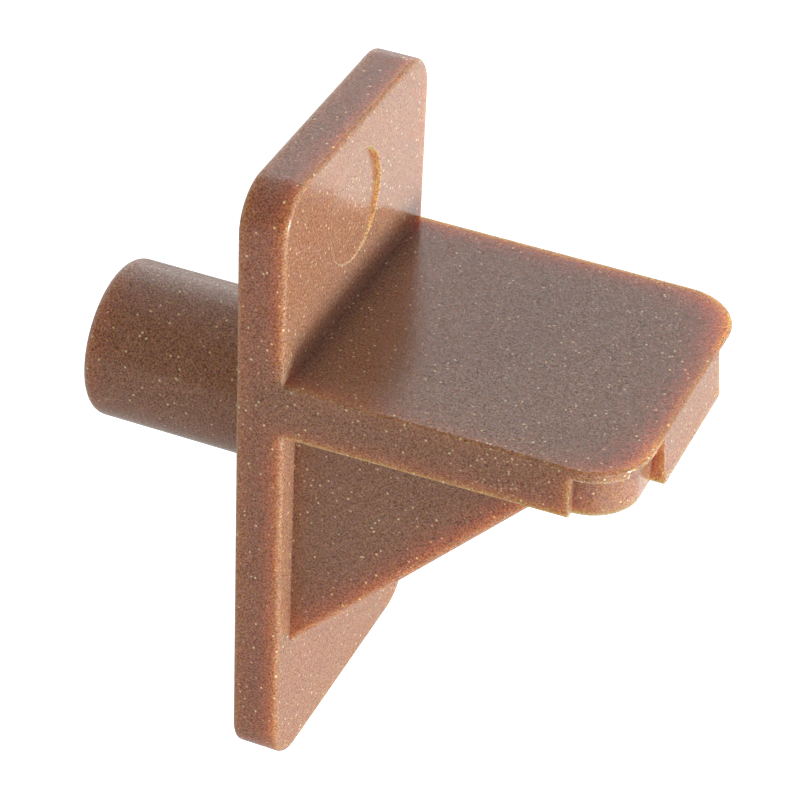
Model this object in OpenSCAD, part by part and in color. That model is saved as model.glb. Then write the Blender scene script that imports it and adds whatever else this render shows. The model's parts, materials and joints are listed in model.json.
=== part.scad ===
// Shelf support pin: a one-piece moulded support that plugs into a shelf-pin hole.
// The origin is on the pin's axis at the plate's back face, where the cabinet wall lies.
// The pin runs along -X into the wall, the ledge runs along +X under the shelf, and +Z is up.

/* [Pin] */
// Diameter of the pin, a slip fit in a quarter-inch hole
pin_d = 6.3; // [4.8:0.05:8]
// Length of the pin behind the plate
pin_l = 8.1; // [5:0.1:14]
// Rounding of the pin's tip
pin_tip_r = 0.45; // [0.1:0.05:1.2]

/* [Back plate] */
// Width of the plate and of the ledge that stands on it
plate_w = 12.7; // [11.5:0.1:18]
// Thickness of the plate
plate_t = 1.9; // [1.4:0.1:3]
// Height of the plate above the pin's axis
plate_above = 12.4; // [11:0.1:18]
// Depth of the plate below the pin's axis
plate_below = 13.7; // [11:0.1:20]
// Radius of the plate's four corners
plate_corner_r = 1.75; // [0.8:0.05:3]
// Rounding of the plate's rim
rim_r = 0.14; // [0.06:0.02:0.6]

/* [Ejector mark] */
// Diameter of the round mark that the ejector left on the plate's front
mark_d = 4.4; // [2:0.1:5]
// Depth of the mark in its middle
mark_depth = 0.15; // [0.12:0.01:0.4]
// Tilt of the mark's floor, in degrees
mark_tilt = 2.4; // [0:0.1:2.8]
// The way in which that tilt deepens the mark, in degrees from straight up towards +Y
mark_deep_way = 45; // [0:5:90]
// Height of the mark's centre above the ledge's seat
mark_rise = 4.2; // [3:0.1:4.5]
// Sideways place of the mark's centre
mark_y = -0.25; // [-1:0.05:1]

/* [Ledge] */
// Length of the ledge in front of the plate, at the foot of its end pad
ledge_l = 13.5; // [12:0.1:20]
// How far the end leans back from that foot up to the seat
end_lean = 0.2; // [0.02:0.02:0.5]
// Height of the ledge's seat above the pin's axis
ledge_top = 4.75; // [3.5:0.05:6]
// Thickness of the ledge at the plate
ledge_root_t = 2.3; // [2:0.05:3]
// Thickness of the ledge at its outer end
ledge_end_t = 2.1; // [1.6:0.05:3]
// Radius of the ledge's two outer corners
ledge_corner_r = 2.25; // [1.5:0.05:3]
// Rounding of the ledge's upper edge
seat_edge_r = 0.1; // [0.04:0.01:0.13]
// Radius of the fillet where the seat meets the plate
seat_root_r = 0.12; // [0.04:0.02:0.3]

/* [Corner recesses] */
// Depth of the recess that runs round each outer corner
recess_depth = 0.38; // [0.2:0.02:0.44]
// Thickness of the lip left above the recess along the side
side_lip_t = 0.4; // [0.15:0.05:0.8]
// Radius of the cove under that lip
side_cove_r = 0.45; // [0.45:0.05:0.8]
// Thickness of the lip left above the recess across the end
end_lip_t = 0.14; // [0.14:0.02:0.4]
// Radius of the cove under that lip
end_cove_r = 1.7; // [0.45:0.05:2]
// Width of the full-depth pad in the middle of the ledge's end
pad_w = 6; // [3:0.1:7]

/* [Gusset] */
// Reach of the gusset along the ledge's underside
gusset_reach = 10; // [6:0.1:11]
// Drop of the gusset down the plate
gusset_drop = 10.6; // [6:0.1:12]
// Width of the gusset
gusset_w = 10.5; // [3:0.1:11]
// Rounding of the gusset's two sloping edges
gusset_edge_r = 0.35; // [0.1:0.05:1]

/* [Hidden] */
plastic_colour = "#94664a";
arc_fn = 64;
// How far the pin, the ledge and the gusset run on into the plate, so that all is one solid
root = plate_t / 2;
// How far a cutting shape stands clear of what it cuts
clear = 1;
plate_h = plate_above + plate_below;
ledge_end_x = plate_t + ledge_l;
ledge_low = ledge_top - ledge_root_t;
end_low = ledge_top - ledge_end_t;
// The corner's centre, which is also where the side's full depth ends in a step
corner_x = ledge_end_x - end_lean - ledge_corner_r;
corner_y = plate_w / 2 - ledge_corner_r;
recess_wall_r = ledge_corner_r - recess_depth;
// The end's lip and the side's lip each take half of a corner's right-angled turn, in degrees
half_turn = 45;
gusset_slope = atan2(gusset_drop, gusset_reach);
gusset_slant = norm([gusset_reach, gusset_drop]);

// Half section of the pin: radius along x, length along y, tip at the top
module pin_section() {
    square([pin_d / 2, root + pin_l - pin_tip_r]);
    translate([0, root])
        square([pin_d / 2 - pin_tip_r, pin_l]);
    translate([pin_d / 2 - pin_tip_r, root + pin_l - pin_tip_r])
        intersection() {
            circle(pin_tip_r, $fn = arc_fn);
            square(pin_tip_r);
        }
}

module pin() {
    translate([root, 0, 0])
        rotate([0, -90, 0])
            rotate_extrude($fn = arc_fn)
                pin_section();
}

// Section of the plate from a corner's centre out to the rim: reach along x, thickness along y
module rim_section() {
    square([plate_corner_r - rim_r, plate_t]);
    translate([0, rim_r])
        square([plate_corner_r, plate_t - 2 * rim_r]);
    for (y = [rim_r, plate_t - rim_r])
        translate([plate_corner_r - rim_r, y])
            circle(rim_r, $fn = arc_fn);
}

// One straight side of the rim, of the given length, with its outside towards +x
module rim_side(length) {
    translate([0, length / 2, 0])
        rotate([90, 0, 0])
            linear_extrude(length)
                rim_section();
}

// Lies flat and centred, with its back face down
module flat_plate() {
    inner_w = plate_w - 2 * plate_corner_r;
    inner_h = plate_h - 2 * plate_corner_r;
    translate([-inner_w / 2, -inner_h / 2, 0])
        cube([inner_w, inner_h, plate_t]);
    for (turn = [0, 180])
        rotate(turn) {
            translate([inner_w / 2, 0, 0])
                rim_side(inner_h);
            translate([0, inner_h / 2, 0])
                rotate(90)
                    rim_side(inner_w);
            translate([inner_w / 2, inner_h / 2, 0])
                rotate_extrude(angle = 90, $fn = arc_fn)
                    rim_section();
            translate([-inner_w / 2, inner_h / 2, 0])
                rotate(90)
                    rotate_extrude(angle = 90, $fn = arc_fn)
                        rim_section();
        }
}

module plate() {
    translate([0, 0, (plate_above - plate_below) / 2])
        rotate([90, 0, 90])
            flat_plate();
}

module ejector_mark() {
    translate([plate_t, mark_y, ledge_top + mark_rise])
        rotate([-mark_deep_way, 0, 0])
            rotate([0, 90 - mark_tilt, 0])
                translate([0, 0, -mark_depth])
                    cylinder(d = mark_d, h = mark_depth + clear, $fn = arc_fn);
}

// Section of the ledge from a corner's centre out to its edge: reach along x, height along y
module ledge_section() {
    translate([0, ledge_low])
        square([ledge_corner_r, ledge_root_t - seat_edge_r]);
    translate([0, ledge_low])
        square([ledge_corner_r - seat_edge_r, ledge_root_t]);
    translate([ledge_corner_r - seat_edge_r, ledge_top - seat_edge_r])
        circle(seat_edge_r, $fn = arc_fn);
}

// The same section where the edge is cut back under a lip, with a cove from the wall out to the lip
module recess_section(lip_t, cove_r) {
    cove_rise = sqrt(pow(cove_r, 2) - pow(cove_r - recess_depth, 2));
    cove_z = ledge_top - lip_t - cove_rise;
    difference() {
        ledge_section();
        translate([recess_wall_r, ledge_low - clear])
            square([recess_depth + clear, cove_z - ledge_low + clear]);
        translate([recess_wall_r + cove_r, cove_z])
            circle(cove_r, $fn = arc_fn);
    }
}

module side_recess_section() {
    recess_section(side_lip_t, side_cove_r);
}

module end_recess_section() {
    recess_section(end_lip_t, end_cove_r);
}

// The same section at the end pad, whose face leans out from the seat's edge down to the pad's foot
module pad_section() {
    ledge_section();
    polygon([
        [0, ledge_low],
        [ledge_corner_r + end_lean, ledge_low],
        [ledge_corner_r + end_lean, end_low],
        [ledge_corner_r, ledge_top - seat_edge_r],
        [0, ledge_top - seat_edge_r]
    ]);
}

// A section run across the ledge's outer end, centred, of the given width
module end_run(width) {
    translate([corner_x, width / 2, 0])
        rotate([90, 0, 0])
            linear_extrude(width)
                children();
}

// Everything below the ledge's underside, which rises towards the outer end
module underside_draft() {
    translate([0, plate_w / 2 + clear, 0])
        rotate([90, 0, 0])
            linear_extrude(plate_w + 2 * clear)
                polygon([
                    [plate_t, ledge_low],
                    [ledge_end_x, end_low],
                    [ledge_end_x + clear, end_low],
                    [ledge_end_x + clear, ledge_low - clear],
                    [plate_t, ledge_low - clear]
                ]);
}

module ledge() {
    difference() {
        union() {
            translate([root, -corner_y, ledge_low])
                cube([corner_x - root, 2 * corner_y, ledge_root_t]);
            end_run(2 * corner_y)
                end_recess_section();
            end_run(pad_w)
                pad_section();
            for (side = [0, 1])
                mirror([0, side, 0]) {
                    translate([root, corner_y, 0])
                        rotate([90, 0, 90])
                            linear_extrude(corner_x - root)
                                ledge_section();
                    translate([corner_x, corner_y, 0]) {
                        rotate_extrude(angle = half_turn, $fn = arc_fn)
                            end_recess_section();
                        mirror([1, -1, 0])
                            rotate_extrude(angle = half_turn, $fn = arc_fn)
                                side_recess_section();
                    }
                }
        }
        underside_draft();
    }
}

// The fillet along the corner between the seat and the plate, within the plate's rounded rim
module seat_root() {
    translate([plate_t, plate_w / 2 - rim_r, ledge_top])
        rotate([90, 0, 0])
            linear_extrude(plate_w - 2 * rim_r)
                difference() {
                    translate([-root, -root])
                        square(root + seat_root_r);
                    translate([seat_root_r, seat_root_r])
                        circle(seat_root_r, $fn = arc_fn);
                }
}

// Section of the gusset square to its slope: width along x, the sloping face at y = 0
module gusset_section() {
    deep = gusset_drop + gusset_reach;
    inner_w = gusset_w - 2 * gusset_edge_r;
    translate([-gusset_w / 2, gusset_edge_r])
        square([gusset_w, deep]);
    translate([-inner_w / 2, 0])
        square([inner_w, deep]);
    for (x = [-inner_w / 2, inner_w / 2])
        translate([x, gusset_edge_r])
            circle(gusset_edge_r, $fn = arc_fn);
}

module gusset() {
    intersection() {
        translate([plate_t, 0, ledge_low - gusset_drop])
            rotate([0, -gusset_slope, 0])
                rotate([90, 0, 90])
                    translate([0, 0, -gusset_slant])
                        linear_extrude(3 * gusset_slant)
                            gusset_section();
        translate([root, -plate_w / 2, -plate_below])
            cube([ledge_end_x, plate_w, plate_below + ledge_top - ledge_root_t / 2]);
    }
}

module shelf_support_pin() {
    color(plastic_colour)
        difference() {
            union() {
                pin();
                plate();
                ledge();
                seat_root();
                gusset();
            }
            ejector_mark();
        }
}

shelf_support_pin();
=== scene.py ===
import json
import math

import bmesh
import bpy
from mathutils import Matrix, Vector


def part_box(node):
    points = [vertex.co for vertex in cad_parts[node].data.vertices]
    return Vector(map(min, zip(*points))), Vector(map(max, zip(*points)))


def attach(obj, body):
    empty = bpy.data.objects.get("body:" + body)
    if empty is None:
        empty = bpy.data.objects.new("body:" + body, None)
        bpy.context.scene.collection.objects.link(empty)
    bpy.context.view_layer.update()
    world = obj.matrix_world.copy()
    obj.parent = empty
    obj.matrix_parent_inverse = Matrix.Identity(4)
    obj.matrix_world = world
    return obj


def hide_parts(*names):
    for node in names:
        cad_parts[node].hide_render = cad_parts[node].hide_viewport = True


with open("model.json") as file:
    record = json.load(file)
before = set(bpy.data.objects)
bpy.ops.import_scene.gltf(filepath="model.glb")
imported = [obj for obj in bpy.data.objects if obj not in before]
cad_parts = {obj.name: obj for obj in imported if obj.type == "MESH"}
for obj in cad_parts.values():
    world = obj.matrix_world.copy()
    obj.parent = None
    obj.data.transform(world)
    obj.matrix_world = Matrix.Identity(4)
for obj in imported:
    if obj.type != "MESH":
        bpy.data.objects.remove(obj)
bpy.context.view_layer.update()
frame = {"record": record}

# Back plate
# The flat tab that bears on the cabinet wall. It is part of one injection moulding in brown
# plastic, and the mould leaves its four corners and its whole rim slightly rounded.

mm = 0.001
node = "shelf_support_pin"
low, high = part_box(node)
mounts = {mount["name"]: mount for mount in frame["record"]["mounts"]}

plate_t = 1.9 * mm
plate_half_w = high.y
plate_half_h = (high.z - low.z) / 2
plate_mid_z = (high.z + low.z) / 2
plate_corner_r = 1.75 * mm
rim_r = 0.2 * mm
corner_steps = 20
edge_steps = 6
weld_gap = 0.001 * mm


def quarter(steps):
    """The sine and cosine of evenly spaced angles from 0 to a right angle."""
    angles = [math.pi / 2 * step / steps for step in range(steps + 1)]
    return [(math.sin(angle), math.cos(angle)) for angle in angles]


def loft(name, rings):
    """A closed mesh object through rings of points, with a flat cap at either end."""
    shape = bmesh.new()
    loops = [[shape.verts.new(point) for point in ring] for ring in rings]
    for lower, upper in zip(loops, loops[1:]):
        for i in range(len(lower)):
            shape.faces.new((lower[i - 1], lower[i], upper[i], upper[i - 1]))
    shape.faces.new(loops[0])
    shape.faces.new(loops[-1])
    bmesh.ops.remove_doubles(shape, verts=shape.verts, dist=weld_gap)
    bmesh.ops.recalc_face_normals(shape, faces=shape.faces)
    mesh = bpy.data.meshes.new(name)
    shape.to_mesh(mesh)
    shape.free()
    made = bpy.data.objects.new(name, mesh)
    bpy.context.scene.collection.objects.link(made)
    return made


def plate_ring(x, inset):
    """The plate's outline, drawn in by inset, at x."""
    reach = plate_corner_r - inset
    points = []
    for turn in range(4):
        y_side = 1 if turn in (0, 3) else -1
        z_side = 1 if turn in (0, 1) else -1
        centre_y = y_side * (plate_half_w - plate_corner_r)
        centre_z = plate_mid_z + z_side * (plate_half_h - plate_corner_r)
        for step in range(corner_steps + 1):
            angle = math.pi / 2 * (turn + step / corner_steps)
            points.append((x, centre_y + reach * math.cos(angle), centre_z + reach * math.sin(angle)))
    return points


plate_rings = [plate_ring(rim_r * (1 - cos), rim_r * (1 - sin)) for sin, cos in quarter(edge_steps)]
plate_rings += [
    plate_ring(plate_t - rim_r * (1 - sin), rim_r * (1 - cos)) for sin, cos in quarter(edge_steps)
]
support = loft("shelf_support", plate_rings)

# Pin
# The round peg behind the plate, which plugs into the hole in the cabinet side. It is moulded
# with the plate, and its tip is rounded so that it finds the hole.

pin_r = mounts["peg"]["dims"]["r_mm"] * mm
pin_end = low.x
pin_tip_r = 0.45 * mm
pin_steps = 128
root = plate_t / 2


def pin_ring(x, radius):
    """A circle round the pin's axis, at x."""
    angles = [2 * math.pi * step / pin_steps for step in range(pin_steps)]
    return [(x, radius * math.cos(angle), radius * math.sin(angle)) for angle in angles]


pin_rings = [pin_ring(root, pin_r)]
pin_rings += [
    pin_ring(pin_end + pin_tip_r * (1 - sin), pin_r - pin_tip_r * (1 - cos))
    for sin, cos in quarter(edge_steps)
]
pin = loft("pin", pin_rings)

# Ledge
# The shelf lies on this. It is moulded with the plate. Round each outer corner its wall is cut back under
# a lip with a cove below it, thick along the side and thin across the end. Between the corners the end
# keeps its full depth in a pad that leans out towards its foot.

ledge_top = mounts["shelf_rest"]["pos_m"][2]
ledge_root_t = 2.3 * mm
ledge_end_t = 2.1 * mm
ledge_low = ledge_top - ledge_root_t
end_low = ledge_top - ledge_end_t
end_foot = high.x
end_lean = 0.2 * mm
end_top = end_foot - end_lean
seat_edge_r = 0.13 * mm
seat_edge_z = ledge_top - seat_edge_r
low_edge_r = 0.08 * mm
ledge_corner_r = 2.25 * mm
corner_x = end_top - ledge_corner_r
corner_y = plate_half_w - ledge_corner_r
recess_depth = 0.38 * mm
side_lip_t = 0.4 * mm
side_cove_r = 0.45 * mm
end_lip_t = 0.14 * mm
end_cove_r = 1.7 * mm
end_turn = math.radians(36)
pad_half_w = 3.0 * mm
cove_steps = 12


def underside(x):
    """The ledge thins a little towards its outer end."""
    share = (x - plate_t) / (end_foot - plate_t)
    return ledge_low + share * (end_low - ledge_low)


def cove_foot(lip_t, cove_r):
    """The height at which the cove under a lip leaves the recessed wall."""
    return ledge_top - lip_t - math.sqrt(cove_r ** 2 - (cove_r - recess_depth) ** 2)


def cove_inset(z, lip_t, cove_r):
    """How far the recessed wall lies behind the lip at that height."""
    if z > ledge_top - lip_t:
        return 0
    up = max(0, z - cove_foot(lip_t, cove_r))
    return recess_depth - cove_r + math.sqrt(cove_r ** 2 - up ** 2)


def ledge_ring(z, inset=0, lift=0):
    """The ledge's outline drawn in by inset, at that height, but at least lift above the underside."""
    side_cut = max(inset, cove_inset(z, side_lip_t, side_cove_r))
    end_cut = max(inset, cove_inset(z, end_lip_t, end_cove_r))
    lean_share = min(1, max(0, (seat_edge_z - z) / (seat_edge_z - end_low)))
    near_half = [(root, inset - plate_half_w), (corner_x, inset - plate_half_w)]
    for cut, start, stop in ((side_cut, math.pi / 2, end_turn), (end_cut, end_turn, 0)):
        reach = ledge_corner_r - cut
        for step in range(corner_steps + 1):
            angle = start + (stop - start) * step / corner_steps
            near_half.append((corner_x + reach * math.cos(angle), -corner_y - reach * math.sin(angle)))
    near_half += [(end_top - end_cut, -pad_half_w), (end_top - inset + lean_share * end_lean, -pad_half_w)]
    outline = near_half + [(x, -y) for x, y in reversed(near_half)]
    return [(x, y, max(z, underside(x) + lift)) for x, y in outline]


ledge_heights = {seat_edge_z}
for lip_t, cove_r in ((side_lip_t, side_cove_r), (end_lip_t, end_cove_r)):
    foot = cove_foot(lip_t, cove_r)
    cove_turn = math.acos(1 - recess_depth / cove_r)
    for step in range(cove_steps + 1):
        ledge_heights.add(foot + cove_r * math.sin(cove_turn * step / cove_steps))
# The rounded lower edge starts from below the underside, so that the lift alone sets its height
ledge_rings = [
    ledge_ring(low.z, low_edge_r * (1 - sin), low_edge_r * (1 - cos))
    for sin, cos in quarter(edge_steps)
]
ledge_rings += [ledge_ring(z) for z in sorted(ledge_heights)]
ledge_rings += [
    ledge_ring(seat_edge_z + seat_edge_r * sin, seat_edge_r * (1 - cos))
    for sin, cos in quarter(edge_steps)[1:]
]
ledge = loft("ledge", ledge_rings)

# Gusset
# The wedge under the ledge, which carries the shelf's load down to the plate. It is moulded solid,
# stands a little in from the sides, and its two sloping edges are rounded.

gusset_reach = 10.0 * mm
gusset_drop = 10.6 * mm
gusset_half_w = 5.25 * mm
gusset_edge_r = 0.35 * mm
gusset_top = ledge_low + ledge_root_t / 2
slope = gusset_drop / gusset_reach
slope_length = math.hypot(gusset_drop, gusset_reach)


def gusset_ring(y, inset):
    """The wedge's outline at y, with its sloping side drawn in by inset."""
    rise = inset * slope_length / gusset_reach
    foot_z = ledge_low - gusset_drop - (plate_t - root) * slope + rise
    toe_x = root + (gusset_top - foot_z) / slope
    return [(root, y, foot_z), (toe_x, y, gusset_top), (root, y, gusset_top)]


gusset_rings = [
    gusset_ring(-gusset_half_w + gusset_edge_r * (1 - cos), gusset_edge_r * (1 - sin))
    for sin, cos in quarter(edge_steps)
]
gusset_rings += [
    gusset_ring(gusset_half_w - gusset_edge_r * (1 - cos), gusset_edge_r * (1 - sin))
    for sin, cos in reversed(quarter(edge_steps))
]
gusset = loft("gusset", gusset_rings)

# Ejector mark
# The round print of the rod that pushed the moulding out of the mould. It is a shallow flat
# recess in the plate's front, deeper towards its top and far side, with a worn rim.

mark_r = 2.2 * mm
mark_depth = 0.12 * mm
mark_tilt = math.radians(2.2)
mark_deep_way = math.radians(40)
mark_rim = 0.025 * mm
mark_clear = 1.0 * mm
mark_y = -0.25 * mm
mark_rise = 4.2 * mm
mark_steps = 96
mark_place = Matrix.Translation((plate_t, mark_y, ledge_top + mark_rise))
mark_way = mark_place @ Matrix.Rotation(-mark_deep_way, 4, "X")
mark_floor_place = mark_way @ Matrix.Rotation(math.pi / 2 - mark_tilt, 4, "Y")
mark_mouth_place = mark_way @ Matrix.Rotation(math.pi / 2, 4, "Y")


def mark_ring(place, radius, height):
    """A circle round the mark's axis, that far above the plate's front or, if negative, below it."""
    angles = [2 * math.pi * step / mark_steps for step in range(mark_steps)]
    return [place @ Vector((radius * math.cos(a), radius * math.sin(a), height)) for a in angles]


# The worn rim slopes through the plate's front and on above it, so no ring lies in the front itself
mark_mouth_r = mark_r + 2 * mark_rim
mark = loft(
    "ejector_mark",
    [
        mark_ring(mark_floor_place, mark_r, -mark_depth),
        mark_ring(mark_mouth_place, mark_r, -mark_rim),
        mark_ring(mark_mouth_place, mark_mouth_r, mark_rim),
        mark_ring(mark_mouth_place, mark_mouth_r, mark_clear),
    ],
)

# One moulding
# Pin, plate, ledge and gusset are a single body of plastic with no seam between them, so they are
# joined into one closed mesh, and the mark is pressed out of it.

sharp_turn = math.radians(35)

for other in (ledge, gusset, pin, mark):
    join = support.modifiers.new(other.name, "BOOLEAN")
    join.object = other
    join.operation = "DIFFERENCE" if other is mark else "UNION"
    join.solver = "EXACT"
bpy.context.view_layer.update()
joined = bpy.data.meshes.new_from_object(support.evaluated_get(bpy.context.evaluated_depsgraph_get()))
support.modifiers.clear()
support.data = joined
for other in (ledge, gusset, pin, mark):
    bpy.data.objects.remove(other)
joined.polygons.foreach_set("use_smooth", [True] * len(joined.polygons))
joined.set_sharp_from_angle(angle=sharp_turn)
support.modifiers.new("flat_faces_stay_flat", "WEIGHTED_NORMAL").keep_sharp = True

# Brown plastic
# Polypropylene with a brown pigment and pale filler, moulded in a satin mould. Light goes a little way
# in, so edges beside a lit face glow orange, and grains of filler show as fine specks.

plastic_deep = "#7d543b"
plastic_pale = "#cc9a7c"
grain_colour = "#fbe8bc"
# Pigment and filler are finer than this in the real plastic: drawn coarser, so that they show
mottle_size = 0.07 * mm
mottle_low = 0.28
mottle_high = 0.72
tint_size = 0.085 * mm
tint_depth = Vector((0.4, 0.5, 1.3))
# Fine and coarse grains of filler: their spacing, their radius and how much they cover the brown
grain_layers = ((0.2 * mm, 0.037 * mm, 0.5), (0.33 * mm, 0.058 * mm, 1.7))
grain_core = 0.5
# The patterns are turned out of line with the faces, so that each face cuts them alike
grain_turn = (0.6, 0.8, 0.4)
relief_size = 0.09 * mm
relief_height = 0.003 * mm
least_roughness = 0.13
most_roughness = 0.25
refraction = 1.49
# The gloss differs from spot to spot, and grains of filler glint
gloss_low = 0.3
gloss_high = 0.7
least_gloss = 0.14
most_gloss = 0.9
grain_glint = 0.6
glow_depth = 3.4 * mm
glow_reach = (1.0, 0.52, 0.22)
# Where the surface is scuffed and more filler shows: the mark's floor, and the ledge's near side
scuffs = (
    (mark_place.translation, 1.9 * mm, 0.8),
    (Vector((10.6 * mm, -plate_half_w, ledge_top - 1.2 * mm)), 2.6 * mm, 0.9),
)
scuff_core = 0.6
scuff_gap = 0.2 * mm
scuff_grain_r = 0.055 * mm
scuff_grain_edge = 0.4
# The plastic is whitened where the rod's edge pressed on it, in an uneven line round the mark
# A painted highlight: an uneven pale line round the mark's rim, standing in for the light that the rim
# catches
painted_rim_highlight_half_w = 0.05 * mm
painted_rim_highlight_strength = 0.6
# Depths count double for this line, so that it stays out of the plate's back
painted_rim_highlight_stretch = (2, 1, 1)


def linear(hex_colour):
    """An sRGB hex colour as linear RGBA."""
    parts = [int(hex_colour[i:i + 2], 16) / 255 for i in (1, 3, 5)]
    return [p / 12.92 if p <= 0.04045 else ((p + 0.055) / 1.055) ** 2.4 for p in parts] + [1]


def add_node(tree, kind, inputs=None, **settings):
    """Adds a node, sets its own settings, and fills or links its inputs by name."""
    made = tree.nodes.new(kind)
    for name, value in settings.items():
        setattr(made, name, value)
    for name, value in (inputs or {}).items():
        if isinstance(value, bpy.types.NodeSocket):
            tree.links.new(value, made.inputs[name])
        else:
            made.inputs[name].default_value = value
    return made


def whitened(tree, colour, cover):
    """That colour with the filler's pale colour laid over it, for grains of filler and for the painted
    highlight round the mark.
    """
    mixed = add_node(
        tree, "ShaderNodeMix", {"Factor": cover, 6: colour, 7: linear(grain_colour)}, data_type="RGBA"
    )
    return mixed.outputs[2]


plastic = bpy.data.materials.new("satin_brown_polypropylene")
plastic.use_nodes = True
tree = plastic.node_tree
tree.nodes.clear()
point = add_node(tree, "ShaderNodeTexCoord").outputs["Object"]
turned = add_node(tree, "ShaderNodeMapping", {"Vector": point, "Rotation": grain_turn}).outputs["Vector"]
mottle = add_node(tree, "ShaderNodeTexNoise", {"Vector": turned, "Scale": 1 / mottle_size, "Detail": 1})
mottle_level = add_node(
    tree,
    "ShaderNodeMapRange",
    {"Value": mottle.outputs["Fac"], "From Min": mottle_low, "From Max": mottle_high},
)
pigment = add_node(
    tree,
    "ShaderNodeMix",
    {"Factor": mottle_level.outputs["Result"], 6: linear(plastic_deep), 7: linear(plastic_pale)},
    data_type="RGBA",
)
tint = add_node(tree, "ShaderNodeTexNoise", {"Vector": turned, "Scale": 1 / tint_size, "Detail": 1})
tint_level = add_node(
    tree,
    "ShaderNodeVectorMath",
    {0: tint.outputs["Color"], 1: tint_depth, 2: Vector((1, 1, 1)) - tint_depth / 2},
    operation="MULTIPLY_ADD",
)
body = add_node(
    tree,
    "ShaderNodeMix",
    {"Factor": 1.0, 6: pigment.outputs[2], 7: tint_level.outputs["Vector"]},
    data_type="RGBA",
    blend_type="MULTIPLY",
)
colour = body.outputs[2]
grain_cover = 0
for gap, radius, strength in grain_layers:
    grains = add_node(tree, "ShaderNodeTexVoronoi", {"Vector": turned, "Scale": 1 / gap})
    grain = add_node(
        tree,
        "ShaderNodeMapRange",
        {
            "Value": grains.outputs["Distance"],
            "From Min": radius / gap,
            "From Max": grain_core * radius / gap,
            "To Max": strength,
        },
    )
    cover = add_node(
        tree,
        "ShaderNodeMath",
        {0: grain.outputs["Result"], 1: grains.outputs["Color"]},
        operation="MULTIPLY",
        use_clamp=True,
    ).outputs[0]
    colour = whitened(tree, colour, cover)
    grain_cover = add_node(
        tree, "ShaderNodeMath", {0: grain_cover, 1: cover}, operation="ADD", use_clamp=True
    ).outputs[0]
scuff_grains = add_node(tree, "ShaderNodeTexVoronoi", {"Vector": turned, "Scale": 1 / scuff_gap})
for centre, reach, strength in scuffs:
    from_centre = add_node(tree, "ShaderNodeVectorMath", {0: point, 1: centre}, operation="DISTANCE")
    grain_reach = add_node(
        tree,
        "ShaderNodeMapRange",
        {
            "Value": from_centre.outputs["Value"],
            "From Min": reach,
            "From Max": scuff_core * reach,
            "To Max": scuff_grain_r / scuff_gap,
        },
    )
    inside = add_node(
        tree,
        "ShaderNodeMath",
        {0: grain_reach.outputs["Result"], 1: scuff_grains.outputs["Distance"]},
        operation="SUBTRACT",
    )
    scuff_grain = add_node(
        tree,
        "ShaderNodeMapRange",
        {
            "Value": inside.outputs[0],
            "From Max": scuff_grain_edge * scuff_grain_r / scuff_gap,
            "To Max": strength,
        },
    )
    scuff_cover = add_node(
        tree,
        "ShaderNodeMath",
        {0: scuff_grain.outputs["Result"], 1: scuff_grains.outputs["Color"]},
        operation="MULTIPLY",
    )
    colour = whitened(tree, colour, scuff_cover.outputs[0])
# Painted highlight: pale where the point lies near the mark's rim, made uneven by the mottle
from_mark = add_node(
    tree, "ShaderNodeVectorMath", {0: point, 1: mark_place.translation}, operation="SUBTRACT"
)
stretched = add_node(
    tree,
    "ShaderNodeVectorMath",
    {0: from_mark.outputs["Vector"], 1: painted_rim_highlight_stretch},
    operation="MULTIPLY",
)
from_middle = add_node(tree, "ShaderNodeVectorMath", {0: stretched.outputs["Vector"]}, operation="LENGTH")
from_rim = add_node(
    tree, "ShaderNodeMath", {0: from_middle.outputs["Value"], 1: mark_r + mark_rim}, operation="SUBTRACT"
)
apart = add_node(tree, "ShaderNodeMath", {0: from_rim.outputs[0]}, operation="ABSOLUTE")
painted_rim_highlight = add_node(
    tree,
    "ShaderNodeMapRange",
    {
        "Value": apart.outputs[0],
        "From Min": painted_rim_highlight_half_w,
        "From Max": 0,
        "To Max": painted_rim_highlight_strength,
    },
)
uneven_painted_rim_highlight = add_node(
    tree,
    "ShaderNodeMath",
    {0: painted_rim_highlight.outputs["Result"], 1: mottle_level.outputs["Result"]},
    operation="MULTIPLY",
)
colour = whitened(tree, colour, uneven_painted_rim_highlight.outputs[0])
relief = add_node(tree, "ShaderNodeTexNoise", {"Vector": turned, "Scale": 1 / relief_size, "Detail": 2})
bump = add_node(tree, "ShaderNodeBump", {"Height": relief.outputs["Fac"], "Distance": relief_height})
roughness = add_node(
    tree,
    "ShaderNodeMapRange",
    {"Value": relief.outputs["Fac"], "To Min": least_roughness, "To Max": most_roughness},
)
gloss = add_node(
    tree,
    "ShaderNodeMapRange",
    {
        "Value": tint.outputs["Fac"],
        "From Min": gloss_low,
        "From Max": gloss_high,
        "To Min": least_gloss,
        "To Max": most_gloss,
    },
)
glint = add_node(
    tree,
    "ShaderNodeMath",
    {0: grain_cover, 1: grain_glint, 2: gloss.outputs["Result"]},
    operation="MULTIPLY_ADD",
    use_clamp=True,
)
skin = add_node(
    tree,
    "ShaderNodeBsdfPrincipled",
    {
        "Base Color": colour,
        "Roughness": roughness.outputs["Result"],
        "Specular IOR Level": glint.outputs[0],
        "IOR": refraction,
        "Normal": bump.outputs["Normal"],
        "Subsurface Weight": 1.0,
        "Subsurface Radius": glow_reach,
        "Subsurface Scale": glow_depth,
    },
)
add_node(tree, "ShaderNodeOutputMaterial", {"Surface": skin.outputs["BSDF"]})
support.data.materials.clear()
support.data.materials.append(plastic)

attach(support, "root")
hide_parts(node)

# Floor
# A plain white table well below the part, which hangs free as if held by its pin. To the eye and in
# reflections it is plain white, and the part's soft shadow falls on it. From below it is clear.

floor_drop = 45 * mm
floor_half = 3000 * mm
floor_colour = "#f2f2f2"
floor_glow = 0.85

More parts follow.
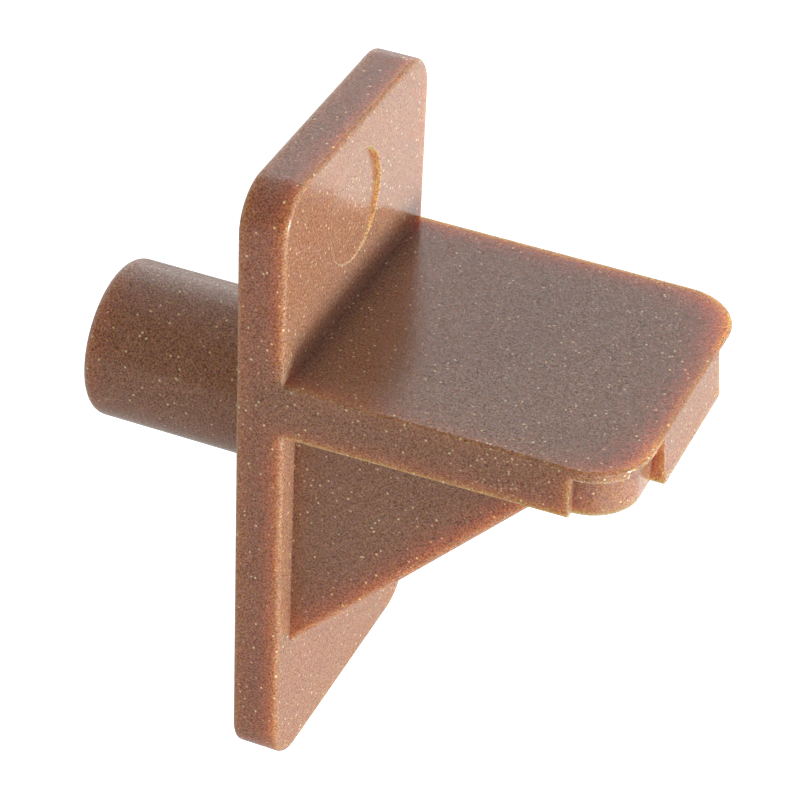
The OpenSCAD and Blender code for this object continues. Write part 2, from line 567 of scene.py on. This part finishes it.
floor_mesh = bpy.data.meshes.new("floor")
floor_z = low.z - floor_drop
floor_mesh.from_pydata(
    [(x, y, floor_z) for x, y in ((-1, -1), (1, -1), (1, 1), (-1, 1))], [], [(0, 1, 2, 3)]
)
floor_mesh.transform(Matrix.Diagonal((floor_half, floor_half, 1, 1)))
floor = bpy.data.objects.new("floor", floor_mesh)
bpy.context.scene.collection.objects.link(floor)


def seen_by_eye(tree):
    """1 where a surface is seen straight, in a reflection or through glass, and 0 where it only lights."""
    ray = add_node(tree, "ShaderNodeLightPath").outputs
    either = add_node(
        tree, "ShaderNodeMath", {0: ray["Is Camera Ray"], 1: ray["Is Glossy Ray"]}, operation="ADD"
    )
    any_of_them = add_node(
        tree,
        "ShaderNodeMath",
        {0: either.outputs[0], 1: ray["Is Transmission Ray"]},
        operation="ADD",
        use_clamp=True,
    )
    return any_of_them.outputs[0]


paper = bpy.data.materials.new("white_paper")
paper.use_nodes = True
tree = paper.node_tree
tree.nodes.clear()
seen = seen_by_eye(tree)
glow_level = add_node(tree, "ShaderNodeMath", {0: seen, 1: floor_glow}, operation="MULTIPLY")
sheet = add_node(
    tree,
    "ShaderNodeBsdfPrincipled",
    {
        "Base Color": linear(floor_colour),
        "Roughness": 1,
        "Specular IOR Level": 0,
        "Emission Color": linear("#ffffff"),
        "Emission Strength": glow_level.outputs[0],
    },
)
from_below = add_node(tree, "ShaderNodeNewGeometry").outputs["Backfacing"]
clear = add_node(tree, "ShaderNodeBsdfTransparent")
one_sided = add_node(
    tree, "ShaderNodeMixShader", {0: from_below, 1: sheet.outputs["BSDF"], 2: clear.outputs["BSDF"]}
)
add_node(tree, "ShaderNodeOutputMaterial", {"Surface": one_sided.outputs["Shader"]})
floor_mesh.materials.append(paper)

# Grey card
# Sheets of dim grey glow that lie between the part and the table, where only reflections see them: painted
# shade that stands in for the part's shadow on the table beneath it, and keeps the table's white out of
# some of the part's faces. The table shows beside and between them.

card_drop = 26 * mm
painted_shade_level = 0.57
# Each sheet's least x, least y, greatest x and greatest y
card_sheets = (
    (-1500 * mm, -1500 * mm, 10 * mm, 250 * mm),
    (10 * mm, -1500 * mm, 45 * mm, 44 * mm),
    (42 * mm, 50 * mm, 62 * mm, 250 * mm),
)

card_mesh = bpy.data.meshes.new("painted_shade_card")
card_z = low.z - card_drop
card_corners = []
for x0, y0, x1, y1 in card_sheets:
    card_corners += [(x0, y0, card_z), (x1, y0, card_z), (x1, y1, card_z), (x0, y1, card_z)]
card_mesh.from_pydata(card_corners, [], [range(i, i + 4) for i in range(0, len(card_corners), 4)])
card = bpy.data.objects.new("painted_shade_card", card_mesh)
bpy.context.scene.collection.objects.link(card)
card.visible_camera = False
card.visible_diffuse = False
card.visible_shadow = False
grey = bpy.data.materials.new("painted_shade_paper")
grey.use_nodes = True
tree = grey.node_tree
tree.nodes.clear()
# Painted shade: a dim grey glow, seen only in reflections, in place of the shaded table
painted_shade_glow = add_node(tree, "ShaderNodeEmission", {"Color": linear("#ffffff"), "Strength": painted_shade_level})
add_node(tree, "ShaderNodeOutputMaterial", {"Surface": painted_shade_glow.outputs["Emission"]})
card_mesh.materials.append(grey)

# Light
# A small hard panel far off on the right and just below the ledge lights the part, and a wide one behind
# gives the ledge its sheen. Dim ones in front, on the left and on the far side fill the shadows, in a
# white room that is dark only behind the camera.

room_level = 0.28
dark_side = Vector((-0.2, -0.85, 0.45)).normalized()
dark_start = 0.1
dark_full = 0.9
dark_level = 0.15

world = bpy.data.worlds.new("white_room")
bpy.context.scene.world = world
world.use_nodes = True
tree = world.node_tree
tree.nodes.clear()
towards = add_node(tree, "ShaderNodeTexCoord").outputs["Generated"]
to_dark_side = add_node(tree, "ShaderNodeVectorMath", {0: towards, 1: dark_side}, operation="DOT_PRODUCT")
white_level = add_node(
    tree,
    "ShaderNodeMapRange",
    {
        "Value": to_dark_side.outputs["Value"],
        "From Min": dark_start,
        "From Max": dark_full,
        "To Min": 1,
        "To Max": dark_level,
    },
)
seen = seen_by_eye(tree)
shown_level = add_node(
    tree, "ShaderNodeMix", {"Factor": seen, "A": room_level, "B": white_level.outputs["Result"]}
)
room = add_node(
    tree, "ShaderNodeBackground", {"Color": linear("#ffffff"), "Strength": shown_level.outputs["Result"]}
)
add_node(tree, "ShaderNodeOutputWorld", {"Surface": room.outputs["Background"]})


def panel(name, place, size, watts, shines=True, lights=True):
    """A square soft panel that faces the part. It may be kept out of reflections, or be seen only there."""
    lamp = bpy.data.lights.new(name, "AREA")
    lamp.size = size
    lamp.energy = watts
    made = bpy.data.objects.new(name, lamp)
    made.location = place
    made.rotation_euler = (-Vector(place)).to_track_quat("-Z", "Y").to_euler()
    made.visible_camera = False
    made.visible_glossy = shines
    made.visible_diffuse = lights
    bpy.context.scene.collection.objects.link(made)


panel("right_panel", (400 * mm, -38 * mm, -31 * mm), size=32 * mm, watts=1.7)
panel("back_panel", (-80 * mm, 220 * mm, 120 * mm), size=210 * mm, watts=0.12, lights=False)
panel("front_panel", (120 * mm, -280 * mm, -10 * mm), size=200 * mm, watts=0.065, shines=False)
panel("left_panel", (-200 * mm, -120 * mm, 150 * mm), size=120 * mm, watts=0.13, shines=False)
panel("far_panel", (0, 300 * mm, -20 * mm), size=70 * mm, watts=0.35, shines=False)

# Camera
# A long lens close by, above the ledge's near corner, where the photograph was taken from. Its angles
# and its distance come from fitting the part's edges to the photograph's.

camera_azimuth = math.radians(21.79)
camera_elevation = math.radians(35.995)
camera_roll = math.radians(2.695)
camera_aim = Vector((3.87 * mm, 0, 0.69 * mm))
camera_distance = 122.18 * mm
camera_focal = 145.52
camera_sensor = 36
camera_nearest = 1 * mm

lens = bpy.data.cameras.new("camera")
lens.sensor_width = camera_sensor
lens.lens = camera_focal
lens.clip_start = camera_nearest
camera = bpy.data.objects.new("camera", lens)
camera_turn = (
    Matrix.Rotation(camera_azimuth, 4, "Z")
    @ Matrix.Rotation(math.pi / 2 - camera_elevation, 4, "X")
    @ Matrix.Rotation(camera_roll, 4, "Z")
)
camera_back_off = Matrix.Translation((0, 0, camera_distance))
camera.matrix_world = Matrix.Translation(camera_aim) @ camera_turn @ camera_back_off
bpy.context.scene.collection.objects.link(camera)
bpy.context.scene.camera = camera
bpy.context.scene.view_settings.view_transform = "Standard"
